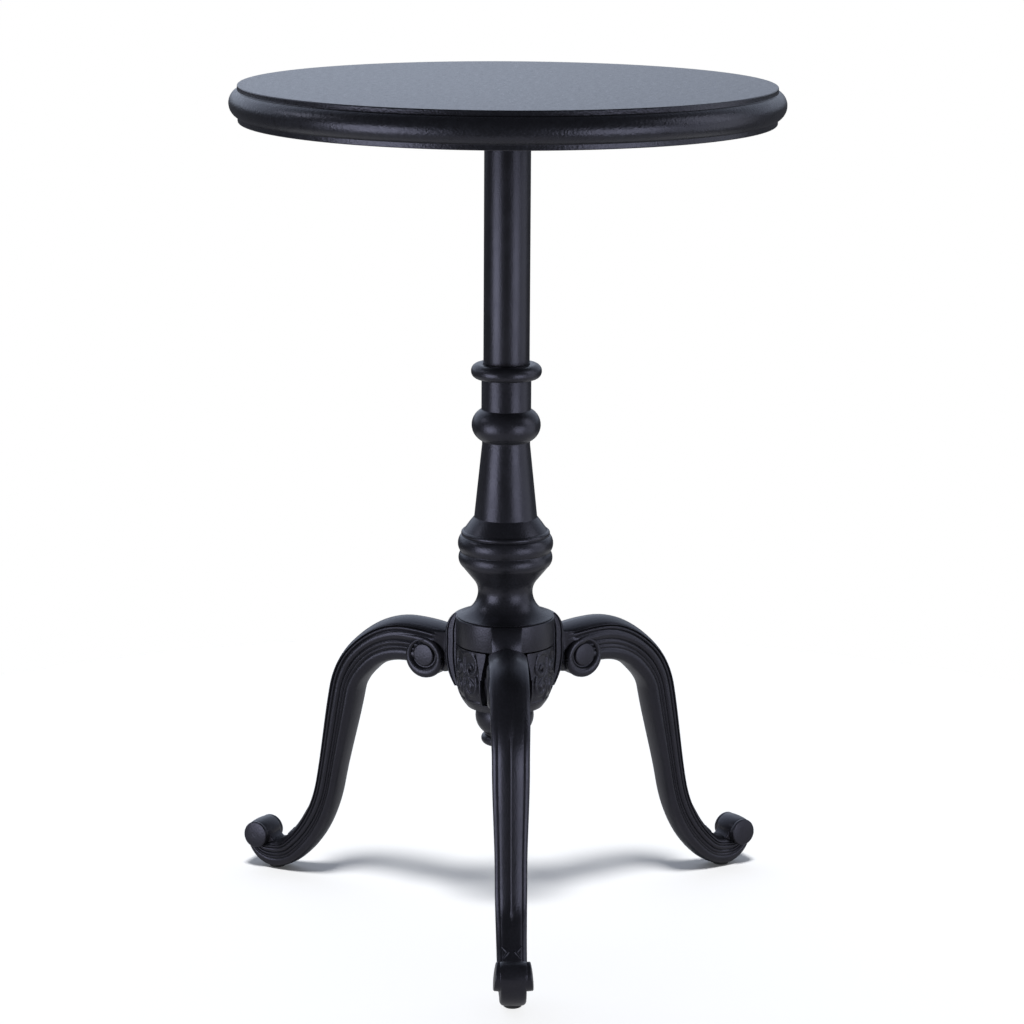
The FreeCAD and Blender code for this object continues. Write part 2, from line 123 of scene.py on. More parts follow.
def turn(bm, steps):
    """Turns all that is drawn into a round body."""
    bmesh.ops.spin(bm, geom=bm.verts[:] + bm.edges[:], cent=(0, 0, 0), axis=(0, 0, 1), angle=math.tau,
                   steps=steps, use_merge=True)
    close_up(bm)


def turned(outline, closed=False, soft=0.5, steps=8):
    """Round body on the table's axis from its outline."""
    bm = bmesh.new()
    draw(bm, outline, closed, steps)
    soften(bm, soft)
    turn(bm, round_steps)
    return bm


def follower(vert, fresh):
    """The new vertex that was drawn out of a vertex."""
    for edge in vert.link_edges:
        if edge.other_vert(vert) in fresh:
            return edge.other_vert(vert)


def sweep(bm, rings):
    """Draws a closed ring on through a row of rings with as many corners, and closes both ends."""
    verts = [bm.verts.new(corner) for corner in rings[0]]
    edges = [bm.edges.new(pair) for pair in zip(verts, verts[1:] + verts[:1])]
    start = edges
    for ring in rings[1:]:
        grown = bmesh.ops.extrude_edge_only(bm, edges=edges)["geom"]
        fresh = {part for part in grown if isinstance(part, bmesh.types.BMVert)}
        drawn = [part for part in grown if isinstance(part, bmesh.types.BMEdge)]
        edges = [edge for edge in drawn if fresh.issuperset(edge.verts)]
        verts = [follower(vert, fresh) for vert in verts]
        for vert, corner in zip(verts, ring):
            vert.co = corner
    bmesh.ops.edgeloop_fill(bm, edges=start)
    bmesh.ops.edgeloop_fill(bm, edges=edges)


def bead(bm, path, radii, sides=10):
    """Rounded bead along a row of points in metres, with its radius in millimetres at each."""
    rings = []
    for index, point in enumerate(path):
        ahead = path[min(index + 1, len(path) - 1)] - path[max(index - 1, 0)]
        facing = ahead.to_track_quat("Z", "Y")
        reach = radii[index] * mm
        ring = []
        for side in range(sides):
            angle = math.tau * side / sides
            corner = Vector((reach * math.cos(angle), reach * math.sin(angle), 0))
            ring.append(point + facing @ corner)
        rings.append(ring)
    sweep(bm, rings)
    close_up(bm)


def stroke(controls, steps=7):
    """Points along a carved line of curves with four control points, of which the next shares one."""
    line = [Vector(point) for point in controls]
    points = [line[0]]
    for index in range(0, len(line) - 1, 3):
        points += interpolate_bezier(*line[index:index + 4], steps + 1)[1:]
    return points


def ease(start, end, share):
    """Value on a soft way from start to end."""
    share = min(max(share, 0), 1)
    return start + (end - start) * share * share * (3 - 2 * share)


def swelling(count, radius, least=0.35):
    """Radii of a carved line that is thin at both ends."""
    bulges = [math.sin(math.pi * index / (count - 1)) for index in range(count)]
    return [radius * (least + (1 - least) * bulge) for bulge in bulges]


def slab(outline, half_width, rounding, steps=8):
    """Upright outline drawn out to both sides, with all its edges rounded."""
    bm = bmesh.new()
    draw(bm, outline, True, steps)
    side = bmesh.ops.contextual_create(bm, geom=bm.edges[:])["faces"]
    grown = bmesh.ops.extrude_face_region(bm, geom=side)["geom"]
    moved = [part for part in grown if isinstance(part, bmesh.types.BMVert)]
    bmesh.ops.translate(bm, vec=(0, 2 * half_width * mm, 0), verts=moved)
    bmesh.ops.translate(bm, vec=(0, -half_width * mm, 0), verts=bm.verts)
    close_up(bm)
    edges = [edge for edge in bm.edges if math.degrees(edge.calc_face_angle(0)) > 40]
    bmesh.ops.bevel(bm, geom=edges, offset=rounding * mm, offset_type="OFFSET", segments=4, profile=0.5,
                    affect="EDGES", clamp_overlap=True, material=-1)
    return bm


def add(bm, other, matrix=Matrix.Identity(4)):
    """Puts a copy of another shape into this one."""
    spare = bpy.data.meshes.new("spare")
    other.to_mesh(spare)
    spare.transform(matrix)
    bm.from_mesh(spare)
    bpy.data.meshes.remove(spare)


def piece(name, bm, finish, slot, *nodes, sharp=38):
    """Finished piece that stands for one or more nodes. Edges over the sharp angle stay crisp."""
    mesh = bpy.data.meshes.new(name)
    bm.to_mesh(mesh)
    bm.free()
    mesh.shade_smooth()
    mesh.set_sharp_from_angle(angle=math.radians(sharp))
    mesh.materials.append(finish)
    made = bpy.data.objects.new(name, mesh)
    bpy.context.scene.collection.objects.link(made)
    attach(made, "root")
    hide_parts(*nodes)
    return made


# Finishes

def paint_grain():
    """Fine grain and cloudiness of sprayed paint over a cast or sanded surface."""
    group = bpy.data.node_groups.new("paint_grain", "ShaderNodeTree")
    for name, kind, value in (
        ("Grain Scale", "NodeSocketFloat", 700.0),
        ("Cloud Scale", "NodeSocketFloat", 40.0),
        ("Deep Colour", "NodeSocketColor", (0.01, 0.01, 0.012, 1)),
        ("Worn Colour", "NodeSocketColor", (0.02, 0.02, 0.024, 1)),
        ("Least Roughness", "NodeSocketFloat", 0.3),
        ("Most Roughness", "NodeSocketFloat", 0.45),
    ):
        socket = group.interface.new_socket(name, in_out="INPUT", socket_type=kind)
        socket.default_value = value
    for name, kind in (
        ("Colour", "NodeSocketColor"),
        ("Roughness", "NodeSocketFloat"),
        ("Height", "NodeSocketFloat"),
    ):
        group.interface.new_socket(name, in_out="OUTPUT", socket_type=kind)
    add_node, link = group.nodes.new, group.links.new
    given = add_node("NodeGroupInput")
    result = add_node("NodeGroupOutput")
    place = add_node("ShaderNodeTexCoord")
    grain = add_node("ShaderNodeTexNoise")
    grain.inputs["Detail"].default_value = 3.0
    grain.inputs["Roughness"].default_value = 0.55
    pebble = add_node("ShaderNodeTexVoronoi")
    pebble.feature = "SMOOTH_F1"
    pebble.inputs["Smoothness"].default_value = 0.6
    cloud = add_node("ShaderNodeTexNoise")
    cloud.inputs["Detail"].default_value = 4.0
    for texture in (grain, pebble, cloud):
        link(place.outputs["Object"], texture.inputs["Vector"])
    link(given.outputs["Grain Scale"], grain.inputs["Scale"])
    link(given.outputs["Grain Scale"], pebble.inputs["Scale"])
    link(given.outputs["Cloud Scale"], cloud.inputs["Scale"])
    height = add_node("ShaderNodeMath")
    height.operation = "SUBTRACT"
    link(grain.outputs["Fac"], height.inputs[0])
    link(pebble.outputs["Distance"], height.inputs[1])
    link(height.outputs["Value"], result.inputs["Height"])
    blend = add_node("ShaderNodeMath")
    blend.operation = "MULTIPLY"
    link(cloud.outputs["Fac"], blend.inputs[0])
    link(grain.outputs["Fac"], blend.inputs[1])
    spread = add_node("ShaderNodeMapRange")
    spread.inputs["From Min"].default_value = 0.12
    spread.inputs["From Max"].default_value = 0.42
    link(blend.outputs["Value"], spread.inputs["Value"])
    tint = add_node("ShaderNodeMix")
    tint.data_type = "RGBA"
    link(spread.outputs["Result"], tint.inputs["Factor"])
    link(given.outputs["Deep Colour"], tint.inputs["A"])
    link(given.outputs["Worn Colour"], tint.inputs["B"])
    link(tint.outputs["Result"], result.inputs["Colour"])
    matt = add_node("ShaderNodeMapRange")
    link(spread.outputs["Result"], matt.inputs["Value"])
    link(given.outputs["Least Roughness"], matt.inputs["To Min"])
    link(given.outputs["Most Roughness"], matt.inputs["To Max"])
    link(matt.outputs["Result"], result.inputs["Roughness"])
    return group


grain_group = paint_grain()
black_sheen = (0.82, 0.79, 1.0, 1)
plain_sheen = (1, 1, 1, 1)


def finish(name, values, relief, depth, metallic=0.0, sheen=plain_sheen):
    """Material with the shared grain, given its own values."""
    material = bpy.data.materials.new(name)
    material.use_nodes = True
    tree = material.node_tree
    shader = tree.nodes["Principled BSDF"]
    shader.inputs["Metallic"].default_value = metallic
    shader.inputs["Specular Tint"].default_value = sheen
    surface = tree.nodes.new("ShaderNodeGroup")
    surface.node_tree = grain_group
    for socket, value in values.items():
        surface.inputs[socket].default_value = value
    bump = tree.nodes.new("ShaderNodeBump")
    bump.inputs["Strength"].default_value = relief
    bump.inputs["Distance"].default_value = depth * mm
    tree.links.new(surface.outputs["Colour"], shader.inputs["Base Color"])
    tree.links.new(surface.outputs["Roughness"], shader.inputs["Roughness"])
    tree.links.new(surface.outputs["Height"], bump.inputs["Height"])
    tree.links.new(bump.outputs["Normal"], shader.inputs["Normal"])
    return material


cast_paint = finish("cast_paint", {
    "Grain Scale": 620.0, "Cloud Scale": 45.0,
    "Deep Colour": (0.0085, 0.0085, 0.0095, 1), "Worn Colour": (0.013, 0.013, 0.0155, 1),
    "Least Roughness": 0.28, "Most Roughness": 0.41,
}, relief=0.28, depth=0.25, sheen=black_sheen)
tube_paint = finish("tube_paint", {
    "Grain Scale": 800.0, "Cloud Scale": 60.0,
    "Deep Colour": (0.0085, 0.0085, 0.009, 1), "Worn Colour": (0.012, 0.012, 0.014, 1),
    "Least Roughness": 0.29, "Most Roughness": 0.4,
}, relief=0.35, depth=0.25, sheen=black_sheen)
board_paint = finish("board_paint", {
    "Grain Scale": 520.0, "Cloud Scale": 190.0,
    "Deep Colour": (0.009, 0.009, 0.01, 1), "Worn Colour": (0.014, 0.0145, 0.017, 1),
    "Least Roughness": 0.265, "Most Roughness": 0.375,
}, relief=0.55, depth=0.25, sheen=black_sheen)
bright_steel = finish("bright_steel", {
    "Grain Scale": 1200.0, "Cloud Scale": 120.0,
    "Deep Colour": (0.42, 0.42, 0.43, 1), "Worn Colour": (0.56, 0.56, 0.57, 1),
    "Least Roughness": 0.28, "Most Roughness": 0.42,
}, relief=0.15, depth=0.1, metallic=1.0)
glide_nylon = finish("glide_nylon", {
    "Grain Scale": 900.0, "Cloud Scale": 150.0,
    "Deep Colour": (0.012, 0.012, 0.012, 1), "Worn Colour": (0.02, 0.02, 0.02, 1),
    "Least Roughness": 0.5, "Most Roughness": 0.65,
}, relief=0.2, depth=0.1)


# Top

board = turned([
    (0, 700), (216.9, 700), ((217.6, 699.7), (217.9, 699)), (217.9, 695.6), (219.2, 695.4),
    ((224.95, 685), (217.7, 674.4)), (217.7, 671), ((217.4, 670.3), (216.7, 670)),
    (0, 670),
], soft=0.4, steps=12)
piece("table_board", board, board_paint, "top_wood", "table_top")

# Pedestal, from the pole down

tube = turned([(19.05, 459), (19.05, 665), (17.05, 665), (17.05, 459)], closed=True)
piece("pole_tube", tube, tube_paint, "painted_steel", "pole")

ring = turned([
    (19.2, 459), (23.2, 459), ((27.44, 460.76), (29.2, 465)), (29.2, 465.4),
    ((27.44, 469.64), (23.2, 471.4)), (19.2, 471.4),
], closed=True)
piece("pole_collar", ring, cast_paint, "cast_black", "collar")

shaft = turned([
    (12, 253.6), (21.85, 253.6), (21.85, 257.6), (39.9, 257.6), (40.7, 258.3),
    ((26.65, 267.1), (22.85, 277.4)), ((23.65, 283.9), (26.45, 289)), (35.9, 300.6),
    ((39.2, 308.3), (37.5, 313.4)), ((39.7, 320.2), (37.7, 326.4)), (36.3, 327.2),
    ((36.9, 329.4), (35.6, 331.0)), (34.8, 331.0), ((31.4, 336.0), (26.2, 342.6)),
    (19.9, 403.6), (19.9, 406.8), ((28.6, 420), (20.55, 433.2)), (20.55, 459),
    (16.9, 459), (16.9, 474), (12, 474),
], closed=True, steps=14)
piece("turned_column", shaft, cast_paint, "cast_black", "column")

drum = turned([
    (22, 196), (33, 196), (33, 235), (41.4, 235), (41.4, 256.2),
    ((41.05, 257.2), (40, 257.6)), (22, 257.6),
], closed=True)
piece("hub_drum", drum, cast_paint, "cast_black", "hub")

drop = turned([
    (0, 182), (21, 182), ((24.6, 171), (17.2, 157.1)), (17.2, 155.6), (15.3, 155.6),
    ((19.7, 151.2), (15.3, 146.8)), (9, 146.8), ((7.2, 144.1), (2.5, 142.3)), (0, 142.3),
], steps=12)
piece("drop_beads", drop, cast_paint, "cast_black", "drop_finial")


# Leaf cup: a turned bowl and three carved panels between the legs

cup_radius, cup_round, cup_round_height, ledge_height = 40.9, 34.2, 204.0, 188.0
panel_top, panel_half_angle, panel_rows, panel_columns = 233.9, 28, 52, 84
panel_foot, panel_back, panel_back_low = 29.0, 34.5, 200
ground_depth, border_width, border_slope = 1.3, 1.2, 1.4
eye_across, eye_height, eye_radius, eye_depth = 8.2, 217.6, 1.9, 1.6
wing_depth, wing_back, wing_half_angle = 6.0, 28.0, 40
tip_reach, tip_bottom, tip_middle, tip_half_angle = 41.3, 211.0, 29.0, 6.0
tip_back, tip_rows, tip_point = 33.0, 14, 0.15


def cup_reach(height):
    """Distance of the cup's side from the axis: upright above, round below."""
    below = max(0, cup_round_height - height)
    return cup_radius - cup_round + math.sqrt(cup_round ** 2 - below ** 2)


def carved_lines():
    """Lines of the leaf on a panel laid flat, in millimetres, with half-width and height of each."""
    upper_scroll = [(1.5, 230), (6, 235), (16.5, 232), (15.5, 221), (14.5, 212), (6, 211), (5.6, 217.5),
                    (5.4, 221.5), (9.5, 222), (10, 219.5)]
    lower_scroll = [(15, 211), (17, 203), (14, 195.5), (8, 196.5), (3, 197.5), (3, 205), (7, 205.5),
                    (9.5, 205.5), (10, 202.5), (8.5, 201.5)]
    leaf_vein = [(0, 214), (4, 211), (9, 209), (12.5, 205)]
    lines = [(stroke([(0, 191, 0), (0, 205, 0), (0, 220, 0), (0, 231, 0)], 20), 2.0, 0.2)]
    for side in (-1, 1):
        for controls, half_width, proud in (
            (upper_scroll, 2.2, 0.4),
            (lower_scroll, 2.2, 0.5),
            (leaf_vein, 1.6, 0.0),
        ):
            line = stroke([(across * side, height, 0) for across, height in controls], 10)
            lines.append((line, half_width, proud))
    return lines


def relief(spot, lines):
    """Height of the carving over the panel's edge at a spot of the panel laid flat."""
    half_length = math.radians(panel_half_angle) * cup_radius
    inside = min(half_length - abs(spot.x), panel_top - spot.y, spot.y - ledge_height)
    height = -ground_depth * ease(0, 1, (inside - border_width) / border_slope)
    for points, half_width, proud in lines:
        near = min((point - spot).length for point in points) / half_width
        if near < 1:
            height = max(height, (ground_depth + proud) * math.sqrt(1 - near ** 2) - ground_depth)
    from_eye = (Vector((abs(spot.x), spot.y, 0)) - Vector((eye_across, eye_height, 0))).length
    return height - eye_depth * ease(1, 0, from_eye / eye_radius)


def ring_sector(outline, half_angle, steps):
    """Outline turned through an angle to both sides of +X, closed at both ends."""
    bm = bmesh.new()
    draw(bm, outline, True)
    bmesh.ops.contextual_create(bm, geom=bm.edges[:])
    start = Matrix.Rotation(math.radians(-half_angle), 3, "Z")
    bmesh.ops.rotate(bm, cent=(0, 0, 0), matrix=start, verts=bm.verts)
    bmesh.ops.spin(bm, geom=bm.verts[:] + bm.edges[:] + bm.faces[:], cent=(0, 0, 0), axis=(0, 0, 1),
                   angle=math.radians(2 * half_angle), steps=steps)
    close_up(bm)
    return bm


def hanging_tip():
    """Leaf tip that hangs from the drum's edge at each end of a panel, and narrows downwards."""
    heights = [tip_bottom + (panel_top - tip_bottom) * row / tip_rows for row in range(tip_rows + 1)]
    outer = [(tip_reach, height) for height in heights]
    bm = ring_sector([(tip_back, tip_bottom)] + outer + [(tip_back, panel_top)], tip_half_angle, 10)
    for vert in bm.verts:
        share = (vert.co.z / mm - tip_bottom) / (panel_top - tip_bottom)
        reach = math.hypot(vert.co.x, vert.co.y)
        bearing = math.atan2(vert.co.y, vert.co.x) * ease(tip_point, 1, share)
        vert.co.x = reach * math.cos(bearing)
        vert.co.y = reach * math.sin(bearing)
    return bm


def leaf_panel():
    """Carved panel with a border, between two plain wings, each with a hanging leaf tip."""
    rise = panel_top - ledge_height
    heights = [ledge_height + rise * row / panel_rows for row in range(panel_rows + 1)]
    outer = [(cup_reach(height), height) for height in heights]
    back = [(panel_back, panel_top), (panel_back, panel_back_low)]
    bm = ring_sector([(panel_foot, ledge_height)] + outer + back, panel_half_angle, panel_columns)
    lines = carved_lines()
    for vert in bm.verts:
        reach = math.hypot(vert.co.x, vert.co.y)
        height = vert.co.z / mm
        if reach > (cup_reach(height) - 0.1) * mm:
            spot = Vector((math.atan2(vert.co.y, vert.co.x) * cup_radius, height, 0))
            scale = 1 + relief(spot, lines) * mm / reach
            vert.co.x *= scale
            vert.co.y *= scale
    wing = [(cup_reach(height) - wing_depth, height) for height in heights[::4]]
    outline = [(wing_back, ledge_height)] + wing + [(wing_back, panel_top)]
    add(bm, ring_sector(outline, wing_half_angle, 40))
    tip = hanging_tip()
    for side in (-1, 1):
        add(bm, tip, Matrix.Rotation(math.radians(tip_middle * side), 4, "Z"))
    tip.free()
    return bm


cup = turned([
    (5.5, 180.4), (30.6, 180.4), ((32.0, 180.8), (cup_reach(181.6), 181.6)),
    ((cup_reach(184.8), 184.8), (cup_reach(ledge_height), ledge_height)), (5.5, ledge_height),
], closed=True)
panel = leaf_panel()
for angle in leg_angles.values():
    add(cup, panel, Matrix.Rotation(math.radians(angle + 60), 4, "Z"))
panel.free()
piece("leaf_panels", cup, cast_paint, "cast_black", "leaf_cup", sharp=70)


# Legs, drawn once along +X and then turned to their places

leg_root, root_sink = 52.8, 4
crest_height, crest_run, root_radius = 227.0, 36.2, 159.0
knee_radius, knee_bend, shin_lean = 65.2, 45, 11.2
sweep_radius, sweep_lean, toe_radius = 115.0, 50, 28.0
sole_height, sole_thickness, sole_width = 2.75, 24.0, 22.4
curl_centre, curl_radius, curl_turn = 29.0, 26.25, 96
curl_end_thickness, curl_end_width, curl_tightening = 11.0, 21.4, 0.7
scroll_run, scroll_rise = 14.3, 29.6
ridge_end, ridge_fade = 57.0, 8.0
run_out_reach, run_out_slope = 10.4, 0.42
section_thickness, section_width = 32.0, 30.0
crest_crown, knee_crown, bend_crown, shin_crown, crown_start = 1.0, -0.6, 2.8, 3.2, 10.0
Place = namedtuple("Place", "distance height heading thickness width cap ridge crown flat")


def face_height(place):
    """Height of the leg's outer face at a place."""
    return place.height + place.thickness / 2 * math.cos(place.heading)


def leg_places(steps=14):
    """Places along the middle of the leg, from its root down to the sole."""
    lean, low_lean, bend = (math.radians(angle) for angle in (shin_lean, sweep_lean, knee_bend))
    upright = math.radians(90)
    root_turn = math.asin(crest_run / root_radius)
    fall = (knee_radius * (1 - math.sin(lean)) + sweep_radius * (math.sin(low_lean) - math.sin(lean))
            + toe_radius * (1 - math.sin(low_lean)))
    shin = (crest_height - fall - sole_height - sole_thickness / 2) / math.cos(lean)
    # Length and turn of each stretch, and at its end: thickness, width, cap, crown and flat underside
    stretches = (
        (root_radius * root_turn, root_turn, 34.4, 31.4, 1, crest_crown, 0),
        (knee_radius * bend, bend, 29.6, 32.0, 1, knee_crown, 0),
        (knee_radius * (upright - bend - lean), upright - bend - lean, 22.6, 30.4, 0, bend_crown, 0),
        (shin, 0.0, 16.8, 26.0, 0, shin_crown, 0),
        (sweep_radius * (low_lean - lean), lean - low_lean, 22.2, 24.0, 0, 0, 0.4),
        (toe_radius * (upright - low_lean), low_lean - upright, sole_thickness, sole_width, 0, 0, 1),
    )
    height = crest_height - root_radius * (1 - math.cos(root_turn))
    places = [Place(leg_root, height, -root_turn, 34.6, 31.0, 1, 0, crest_crown, 0)]
    for length, swing, thickness, width, cap, crown, flat in stretches:
        last = places[-1]
        for step in range(1, steps + 1):
            share = step / steps
            now = last.heading + swing * share
            if swing:
                run = length / swing * (math.sin(now) - math.sin(last.heading))
                rise = length / swing * (math.cos(now) - math.cos(last.heading))
            else:
                run = length * share * math.cos(now)
                rise = -length * share * math.sin(now)
            place = Place(
                last.distance + run, last.height + rise, now,
                thickness=ease(last.thickness, thickness, share), width=ease(last.width, width, share),
                cap=ease(last.cap, cap, share), ridge=0, crown=ease(last.crown, crown, share),
                flat=ease(last.flat, flat, share),
            )
            ridge = (1 - place.cap) * ease(0, 1, (face_height(place) - ridge_end) / ridge_fade)
            places.append(place._replace(ridge=ridge))
    return places


def curl_places(sole, steps=16):
    """Places from the sole up round the scroll, with the underside on one curve."""
    places = []
    for step in range(1, steps + 1):
        share = step / steps
        swing = math.radians(curl_turn) * share
        thickness = ease(sole_thickness, curl_end_thickness, share)
        middle = curl_radius - ease(0, curl_tightening, share) - thickness / 2
        places.append(Place(
            sole + middle * math.sin(swing), curl_centre - middle * math.cos(swing), -swing, thickness,
            width=ease(sole_width, curl_end_width, share), cap=0, ridge=0, crown=0, flat=1,
        ))
    return places


def leg_frame(place):
    """Sets the leg's section, outwards along X and across along Y, at a place of the leg."""
    out = Vector((math.sin(place.heading), 0, math.cos(place.heading)))
    out *= place.thickness / section_thickness
    across = Vector((0, place.width / section_width, 0))
    along = Vector((math.cos(place.heading), 0, -math.sin(place.heading)))
    matrix = Matrix((out, across, along)).transposed().to_4x4()
    matrix.translation = (place.distance * mm, 0, place.height * mm)
    return matrix


def leg_point(place, out, across):
    """Point of the leg at a place, by its distances outwards and across in the section."""
    return leg_frame(place) @ Vector((out * mm, across * mm, 0))


def corners(outline, steps):
    """Corners of an open outline, in order and in metres, with the second of their values along Y."""
    bm = bmesh.new()
    here = draw(bm, outline, False, steps)
    before, row = None, []
    while here:
        row.append(Vector((here.co.x, here.co.z, 0)))
        onward = [edge.other_vert(here) for edge in here.link_edges if edge.other_vert(here) != before]
        before, here = here, onward[0] if onward else None
    bm.free()
    return row


round_underside = [((-15.6, 11.6), (-17.6, 7.0)), ((-18.3, 3.5), (-18.5, 0))]
flat_underside = [((-15.7, 12.7), (-17.1, 10.0)), ((-17.4, 5.0), (-17.5, 0))]


def section(face, underside=round_underside):
    """Corners of the outline across the leg: its face, then bands and grooves down the side."""
    flank = [
        (0.6, 13.1), (-0.6, 14.0), ((-1.4, 14.4), (-2.2, 14.0)), (-3.6, 13.2), (-4.6, 13.9),
        ((-5.2, 14.2), (-5.8, 13.9)), (-6.8, 13.3), (-7.8, 13.9), ((-9.6, 14.3), (-11.4, 14.0)),
    ]
    half = corners(face + flank + underside, 4)
    return half + [Vector((spot.x, -spot.y, 0)) for spot in half[-2:0:-1]]


cap_section = section([
    (16.6, 0), (16.59, 0.3), (16.56, 0.9), ((16.0, 5.4), (14.9, 9.5)), (14.7, 10.0), (14.45, 10.6),
    ((13.7, 12.4), (12.8, 13.9)), (12.3, 14.5), (11.8, 14.9), (11.0, 13.3), (10.4, 14.5),
    ((9.5, 15.0), (8.6, 14.5)), (7.9, 13.4), (7.1, 14.3), ((4.5, 15.0), (1.9, 14.3)),
])
panel_edge = [
    (13.0, 10.0), (13.3, 10.6), ((12.8, 12.3), (11.4, 13.9)), (10.5, 14.6), (9.7, 14.9),
    (8.9, 13.4), (8.3, 14.4), ((7.5, 14.8), (6.7, 14.4)), (6.1, 13.5), (5.5, 14.3),
    ((3.6, 14.9), (1.7, 14.3)),
]
plain_face = [
    (16.2, 0), (16.19, 0.3), (16.17, 0.9), ((16.0, 5.4), (15.2, 9.5)), (14.7, 10.0), (14.8, 10.6),
    ((13.9, 12.3), (12.2, 13.9)), (11.2, 14.6), (10.3, 14.9), (9.4, 13.6), (8.7, 14.4),
    ((7.8, 14.8), (6.9, 14.4)), (6.2, 13.6), (5.5, 14.3), ((3.6, 14.9), (1.7, 14.3)),
]
plain_section = section(plain_face)
foot_section = section(plain_face, flat_underside)
ridge_top = [(18.5, 0), (18.3, 0.3), (16.9, 0.9), ((15.7, 5.4), (13.6, 9.5))]
ridge_section = section(ridge_top + panel_edge)


def leg_ring(place):
    """The leg's outline at a place, between smooth cap, plain face, ridged panels and flat foot."""
    matrix = leg_frame(place)
    reach = (run_out_reach + run_out_slope * max(0, place.distance - leg_root)) * mm
    ring = []
    for cap, plain, ridge, foot in zip(cap_section, plain_section, ridge_section, foot_section):
        spot = plain + (cap - plain) * place.cap
        spot += (ridge - plain) * place.ridge
        spot += (foot - plain) * place.flat
        spot.y = min(max(spot.y, -reach), reach)
        share = min(max(spot.x / (crown_start * mm), 0), 1)
        lift = share * place.crown * section_thickness / place.thickness
        ring.append(matrix @ (spot + Vector((lift * mm, 0, 0))))
    return ring


def leg_arm(places):
    """The leg's own length, from its root to the end of its curl."""
    bm = bmesh.new()
    sweep(bm, [leg_ring(place) for place in places])
    close_up(bm)
    return bm


def root_pad():
    """Cushioned pad between the leg and the drum, round from top to bottom, with steps at its sides."""
    steps = [
        (0, 11.6), (0.42, 11.6), (0.46, 13), (0.58, 13), (0.62, 12), (0.7, 12), (0.75, 13), (0.79, 13),
        (0.84, 12.3), (0.873, 11), (0.916, 9), (0.963, 6), (0.991, 3), (1.0, 0),
    ]
    steps += [(share, -half) for share, half in steps[-2::-1]]
    back = 34.0 * mm
    bm = bmesh.new()
    rings = []
    for spot in corners([(43.2, 257.2), ((51, 248.6), (53.2, 233)), ((51.4, 209), (43, 194))], 12):
        out = spot.x - back
        rings.append([Vector((back + out * share, half * mm, spot.y)) for share, half in steps])
    sweep(bm, rings)
    close_up(bm)
    return bm


def lathe_across(outline, soft=0.4, steps=8):
    """Round body on an axis across the leg, by distances from that axis and places along it."""
    bm = bmesh.new()
    draw(bm, outline, False, steps)
    soften(bm, soft)
    turn(bm, small_round_steps)
    laid_over = Matrix.Rotation(math.radians(-90), 3, "X")
    bmesh.ops.rotate(bm, cent=(0, 0, 0), matrix=laid_over, verts=bm.verts)
    return bm


def mirrored(half):
    """Outline and its reflection. Only the last step of the half that is given is an arc."""
    points = half[:-1]
    through, end = half[-1]
    back = [(end[0], -end[1]), ((through[0], -through[1]), (points[-1][0], -points[-1][1]))]
    return half + back + [(radius, -along) for radius, along in points[-2::-1]]


volute_run, volute_height, volute_radius = 17.2, 214.9, 17.3
eye_lift, groove_radius = 2.6, 12.1
band_start, band_out, band_across, band_radius = 112.0, 4.5, 12.4, 3.7
band_round_run, band_round_across, band_round_rise = 14.8, 13.2, 15.3


def volute(places):
    """Scroll on both sides of the leg: an eye set high in a ring, and a band that runs into it."""
    bm = lathe_across(mirrored([
        (0, 16.2), (8.9, 16.0), (9.6, 15.4), (10.0, 13.6), (11.4, 13.6), (groove_radius, 15.2),
        ((14.8, 16.6), (volute_radius, 14.9)),
    ]), soft=0.3)
    for vert in bm.verts:
        reach = math.hypot(vert.co.x, vert.co.z) / mm
        vert.co.z += eye_lift * mm * min(1, (volute_radius - reach) / (volute_radius - groove_radius))
    centre = Vector((leg_root + volute_run, 0, volute_height)) * mm
    bmesh.ops.translate(bm, vec=centre, verts=bm.verts)
    for side in (-1, 1):
        capped = [place for place in places if place.cap == 1]
        lead = [place for place in capped if leg_root + volute_run < place.distance < band_start]
        path = [leg_point(place, band_out, band_across * side) for place in reversed(lead)]
        for degrees in range(92, 268, 8):
            turn_by = math.radians(degrees)
            run = band_round_run * math.cos(turn_by)
            rise = band_round_rise * math.sin(turn_by)
            path.append(centre + Vector((run, band_round_across * side, rise)) * mm)
        bead(bm, path, swelling(len(path), band_radius, 0.6), sides=16)
    return bm


ear_tilt, ear_offset, web_half_width = 6.3, 10.4, 8.8
leaf_out, leaf_radius = 15.0, 1.7


def foot_scroll(sole):
    """Roll at the leg's end, with a web into the leg and a tilted flat ear at both sides."""
    bm = lathe_across([
        (0, 11.2), (10.8, 11.2), (11.6, 10.3), ((12.3, 0), (11.6, -10.3)), (10.8, -11.2), (0, -11.2),
    ])
    ear = lathe_across([
        (0, 4.9), ((6.5, 4.75), (10.2, 4.3)), ((11.1, 3.9), (11.4, 3.1)),
        (11.4, -0.6), (10.6, -1.4), (0, -1.4),
    ])
    for side in (-1, 1):
        tilted = Matrix.Rotation(math.radians(ear_tilt * side), 4, "X")
        place = Matrix.Translation((0, ear_offset * mm * side, 0)) @ tilted
        add(bm, ear, place @ Matrix.Scale(side, 4, (0, 1, 0)))
    ear.free()
    bmesh.ops.translate(bm, vec=Vector((scroll_run, 0, scroll_rise)) * mm, verts=bm.verts)
    close_up(bm)
    web_outline = [(-2.4, 25.6), ((0.9, 28.2), (2.6, 33.2)), (9, 31), (9, 22), (-2.4, 22)]
    web = slab(web_outline, web_half_width, 1.0)
    add(bm, web)
    web.free()
    bmesh.ops.translate(bm, vec=(sole * mm, 0, 0), verts=bm.verts)
    return bm


